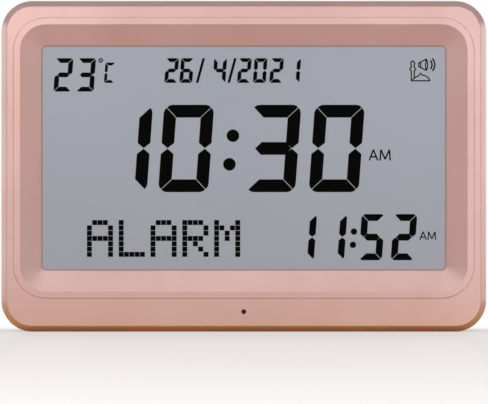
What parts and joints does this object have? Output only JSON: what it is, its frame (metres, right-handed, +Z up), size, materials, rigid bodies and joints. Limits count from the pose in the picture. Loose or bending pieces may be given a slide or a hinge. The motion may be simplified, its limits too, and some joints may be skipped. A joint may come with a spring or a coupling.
{
  "type": "prayer time alarm clock",
  "caption": "Desk and wall prayer-time clock: a bevelled metallic frame slopes to a wide segment display; keys, speaker grille, battery door and folding stand are on the back.",
  "frame": {"origin": "centre of the bounding box's bottom face, on the table under the middle of the case", "axes": "+X to the right seen from the front, +Y from the display to the back, +Z up"},
  "size_m": [0.22, 0.03, 0.15],
  "materials": {
    "bezel_paint": "satin",
    "cover_plastic": "satin",
    "display_glass": "polished",
    "white_plastic": "matte",
    "board": "matte",
    "rubber": "matte",
    "dark_plastic": "matte",
    "steel": "satin",
    "chrome": "polished",
    "cell_jacket": "gloss",
    "wire_jacket": "satin",
    "paper": "matte",
    "foam": "matte",
    "lamp": "gloss",
    "sensor": "polished",
    "key_plastic": "satin"
  },
  "bodies": {
    "case": {"front_bezel": "bezel_paint", "lcd_front_glass": "display_glass", "lcd_rear_glass": "display_glass", "lcd_reflector_film": "white_plastic", "light_guide": "white_plastic", "backlight_strip": "board", "backlight_lamps": "lamp", "contact_strip": "rubber", "lcd_tray": "white_plastic", "main_board": "board", "chip_cover": "dark_plastic", "sound_chips": "dark_plastic", "quartz_crystal": "chrome", "capacitors": "cell_jacket", "wire_sockets": "white_plastic", "thermistor": "dark_plastic", "board_screws": "steel", "tray_screws": "steel", "light_sensor": "sensor", "key_board": "board", "key_board_screws": "steel", "key_switches": "steel", "speaker_basket": "steel", "speaker_gasket": "foam", "speaker_magnet": "steel", "speaker_cone": "paper", "speaker_screws": "steel", "aa_cells": "cell_jacket", "battery_springs": "chrome", "battery_plates": "chrome", "case_screws": "steel", "speaker_leads": "wire_jacket", "sensor_leads": "wire_jacket", "battery_leads": "wire_jacket", "key_ribbon": "white_plastic", "rear_cover": "cover_plastic"},
    "door": {"battery_door": "cover_plastic"},
    "stand": {"stand_leg": "cover_plastic"},
    "mode_button": {"mode_key": "key_plastic", "mode_plunger": "dark_plastic"},
    "set_button": {"set_key": "key_plastic", "set_plunger": "dark_plastic"},
    "up_button": {"up_key": "key_plastic", "up_plunger": "dark_plastic"},
    "down_button": {"down_key": "key_plastic", "down_plunger": "dark_plastic"},
    "azan_button": {"azan_key": "key_plastic", "azan_plunger": "dark_plastic"},
    "light_button": {"light_key": "key_plastic", "light_plunger": "dark_plastic"}
  },
  "joints": [
    {"name": "door_hinge", "type": "hinge", "parent": "case", "child": "door", "pos_m": [0.0623, 0.015, 0.01315], "axis": [-1, 0, 0], "range_deg": [0, 85]},
    {"name": "stand_hinge", "type": "hinge", "parent": "case", "child": "stand", "pos_m": [0, 0.0134, 0.078], "axis": [1, 0, 0], "range_deg": [0, 30]},
    {"name": "mode_press", "type": "slide", "parent": "case", "child": "mode_button", "axis": [0, -1, 0], "range_m": [0, 0.0004], "stiffness_N_per_m": 800},
    {"name": "set_press", "type": "slide", "parent": "case", "child": "set_button", "axis": [0, -1, 0], "range_m": [0, 0.0004], "stiffness_N_per_m": 800},
    {"name": "up_press", "type": "slide", "parent": "case", "child": "up_button", "axis": [0, -1, 0], "range_m": [0, 0.0004], "stiffness_N_per_m": 800},
    {"name": "down_press", "type": "slide", "parent": "case", "child": "down_button", "axis": [0, -1, 0], "range_m": [0, 0.0004], "stiffness_N_per_m": 800},
    {"name": "azan_press", "type": "slide", "parent": "case", "child": "azan_button", "axis": [0, -1, 0], "range_m": [0, 0.0004], "stiffness_N_per_m": 800},
    {"name": "light_press", "type": "slide", "parent": "case", "child": "light_button", "axis": [0, -1, 0], "range_m": [0, 0.0004], "stiffness_N_per_m": 800}
  ]
}
